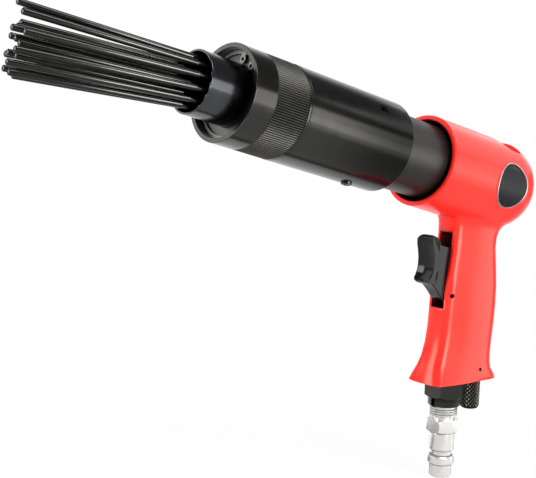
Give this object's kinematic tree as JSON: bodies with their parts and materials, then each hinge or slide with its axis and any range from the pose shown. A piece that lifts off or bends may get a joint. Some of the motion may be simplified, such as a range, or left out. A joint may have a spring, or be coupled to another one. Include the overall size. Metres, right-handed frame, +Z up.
{
  "type": "needle scaler",
  "caption": "Pneumatic needle scaler: pistol grip body with trigger, long steel barrel with collar and nozzle, and a bundle of floating needles struck by an air hammer.",
  "frame": {"origin": "on the axis of the air plug, in the middle of its tip", "axes": "+X runs along the barrel to the rear, so the needles point to -X; +Z is up, from the plug to the barrel; +Y is across the tool"},
  "size_m": [0.3587, 0.0534, 0.2041],
  "materials": {
    "red_paint": "gloss red paint on an aluminium casting",
    "badge_black": "blank black badge",
    "badge_silver": "thin bright rim",
    "blacked_steel": "turned and blackened steel",
    "bare_steel": "ground steel",
    "needle_steel": "dark drawn steel wire",
    "plated_steel": "bright plating",
    "trigger_plastic": "moulded black plastic",
    "seal_rubber": "seal ring"
  },
  "bodies": {
    "tool": {"grip_body": "red_paint", "badge_plate": "badge_black", "badge_rim": "badge_silver", "cylinder": "blacked_steel", "cylinder_seal": "seal_rubber", "valve_seat": "bare_steel", "valve_cap": "bare_steel", "housing_tube": "blacked_steel", "set_screws": "blacked_steel", "front_collar": "blacked_steel", "nozzle": "blacked_steel", "retaining_ring": "bare_steel", "return_spring": "bare_steel", "trigger_pin": "bare_steel", "throttle_bush": "bare_steel", "throttle_seal": "seal_rubber", "throttle_spring": "bare_steel", "inlet_bushing": "blacked_steel", "inlet_screen": "plated_steel", "air_plug": "plated_steel", "regulator_bush": "bare_steel", "regulator_seal": "seal_rubber", "regulator_pin": "bare_steel"},
    "trigger": {"trigger": "trigger_plastic"},
    "throttle_stem": {"throttle_stem": "bare_steel"},
    "regulator": {"regulator_knob": "blacked_steel"},
    "valve_disc": {"valve_disc": "bare_steel"},
    "piston": {"piston": "bare_steel"},
    "anvil": {"anvil": "bare_steel"},
    "needle_holder": {"needle_holder": "bare_steel"},
    "needle_01": {"needle_01": "needle_steel"},
    "needle_02": {"needle_02": "needle_steel"},
    "needle_03": {"needle_03": "needle_steel"},
    "needle_04": {"needle_04": "needle_steel"},
    "needle_05": {"needle_05": "needle_steel"},
    "needle_06": {"needle_06": "needle_steel"},
    "needle_07": {"needle_07": "needle_steel"},
    "needle_08": {"needle_08": "needle_steel"},
    "needle_09": {"needle_09": "needle_steel"},
    "needle_10": {"needle_10": "needle_steel"},
    "needle_11": {"needle_11": "needle_steel"},
    "needle_12": {"needle_12": "needle_steel"},
    "needle_13": {"needle_13": "needle_steel"},
    "needle_14": {"needle_14": "needle_steel"},
    "needle_15": {"needle_15": "needle_steel"},
    "needle_16": {"needle_16": "needle_steel"},
    "needle_17": {"needle_17": "needle_steel"},
    "needle_18": {"needle_18": "needle_steel"},
    "needle_19": {"needle_19": "needle_steel"}
  },
  "joints": [
    {"name": "trigger_pull", "type": "hinge", "parent": "tool", "child": "trigger", "pos_m": [-0.031, 0, 0.10174], "axis": [0, 1, 0], "range_deg": [0, 9], "stiffness_Nm_per_rad": 0.3, "springref_deg": -22.92},
    {"name": "throttle_slide", "type": "slide", "parent": "tool", "child": "throttle_stem", "axis": [1, 0, 0], "range_m": [0, 0.0034], "deforming": ["throttle_spring"]},
    {"name": "regulator_turn", "type": "hinge", "parent": "tool", "child": "regulator", "pos_m": [0.01071, 0, 0.05833], "axis": [0.2221, 0, -0.975], "continuous": true},
    {"name": "valve_shuttle", "type": "slide", "parent": "tool", "child": "valve_disc", "axis": [1, 0, 0], "range_m": [0, 0.0012]},
    {"name": "piston_stroke", "type": "slide", "parent": "tool", "child": "piston", "axis": [-1, 0, 0], "range_m": [0, 0.0425]},
    {"name": "holder_stroke", "type": "slide", "parent": "tool", "child": "needle_holder", "axis": [-1, 0, 0], "range_m": [0, 0.006], "stiffness_N_per_m": 6000, "springref_m": -0.008, "deforming": ["return_spring"]},
    {"name": "anvil_stroke", "type": "slide", "parent": "tool", "child": "anvil", "axis": [-1, 0, 0], "range_m": [0, 0.006]},
    {"name": "needle_01_float", "type": "slide", "parent": "needle_holder", "child": "needle_01", "axis": [-1, 0, -0.0084], "range_m": [0, 0.0045]},
    {"name": "needle_02_float", "type": "slide", "parent": "needle_holder", "child": "needle_02", "axis": [-0.9999, 0.0165, -0.0043], "range_m": [0, 0.0045]},
    {"name": "needle_03_float", "type": "slide", "parent": "needle_holder", "child": "needle_03", "axis": [-1, 0.0047, 0.0079], "range_m": [0, 0.0045]},
    {"name": "needle_04_float", "type": "slide", "parent": "needle_holder", "child": "needle_04", "axis": [-0.9999, -0.0118, 0.0038], "range_m": [0, 0.0045]},
    {"name": "needle_05_float", "type": "slide", "parent": "needle_holder", "child": "needle_05", "axis": [-0.9998, -0.0165, -0.0125], "range_m": [0, 0.0045]},
    {"name": "needle_06_float", "type": "slide", "parent": "needle_holder", "child": "needle_06", "axis": [-0.9997, -0.0047, -0.0247], "range_m": [0, 0.0045]},
    {"name": "needle_07_float", "type": "slide", "parent": "needle_holder", "child": "needle_07", "axis": [-0.9997, 0.0118, -0.0206], "range_m": [0, 0.0045]},
    {"name": "needle_08_float", "type": "slide", "parent": "needle_holder", "child": "needle_08", "axis": [-0.9995, 0.033, 0.0011], "range_m": [0, 0.0045]},
    {"name": "needle_09_float", "type": "slide", "parent": "needle_holder", "child": "needle_09", "axis": [-0.9996, 0.0239, 0.0163], "range_m": [0, 0.0045]},
    {"name": "needle_10_float", "type": "slide", "parent": "needle_holder", "child": "needle_10", "axis": [-0.9997, 0.0083, 0.0249], "range_m": [0, 0.0045]},
    {"name": "needle_11_float", "type": "slide", "parent": "needle_holder", "child": "needle_11", "axis": [-0.9997, -0.0095, 0.0246], "range_m": [0, 0.0045]},
    {"name": "needle_12_float", "type": "slide", "parent": "needle_holder", "child": "needle_12", "axis": [-0.9996, -0.0247, 0.0155], "range_m": [0, 0.0045]},
    {"name": "needle_13_float", "type": "slide", "parent": "needle_holder", "child": "needle_13", "axis": [-0.9994, -0.0333, -0.0001], "range_m": [0, 0.0045]},
    {"name": "needle_14_float", "type": "slide", "parent": "needle_holder", "child": "needle_14", "axis": [-0.9993, -0.033, -0.0179], "range_m": [0, 0.0045]},
    {"name": "needle_15_float", "type": "slide", "parent": "needle_holder", "child": "needle_15", "axis": [-0.9992, -0.0239, -0.0331], "range_m": [0, 0.0045]},
    {"name": "needle_16_float", "type": "slide", "parent": "needle_holder", "child": "needle_16", "axis": [-0.9991, -0.0083, -0.0417], "range_m": [0, 0.0045]},
    {"name": "needle_17_float", "type": "slide", "parent": "needle_holder", "child": "needle_17", "axis": [-0.9991, 0.0095, -0.0414], "range_m": [0, 0.0045]},
    {"name": "needle_18_float", "type": "slide", "parent": "needle_holder", "child": "needle_18", "axis": [-0.9992, 0.0247, -0.0323], "range_m": [0, 0.0045]},
    {"name": "needle_19_float", "type": "slide", "parent": "needle_holder", "child": "needle_19", "axis": [-0.9993, 0.0333, -0.0167], "range_m": [0, 0.0045]}
  ],
  "couplings": [
    {"joint": "throttle_slide", "follows": "trigger_pull", "m_per_rad": 0.021144},
    {"joint": "anvil_stroke", "follows": "holder_stroke", "ratio": 1}
  ]
}
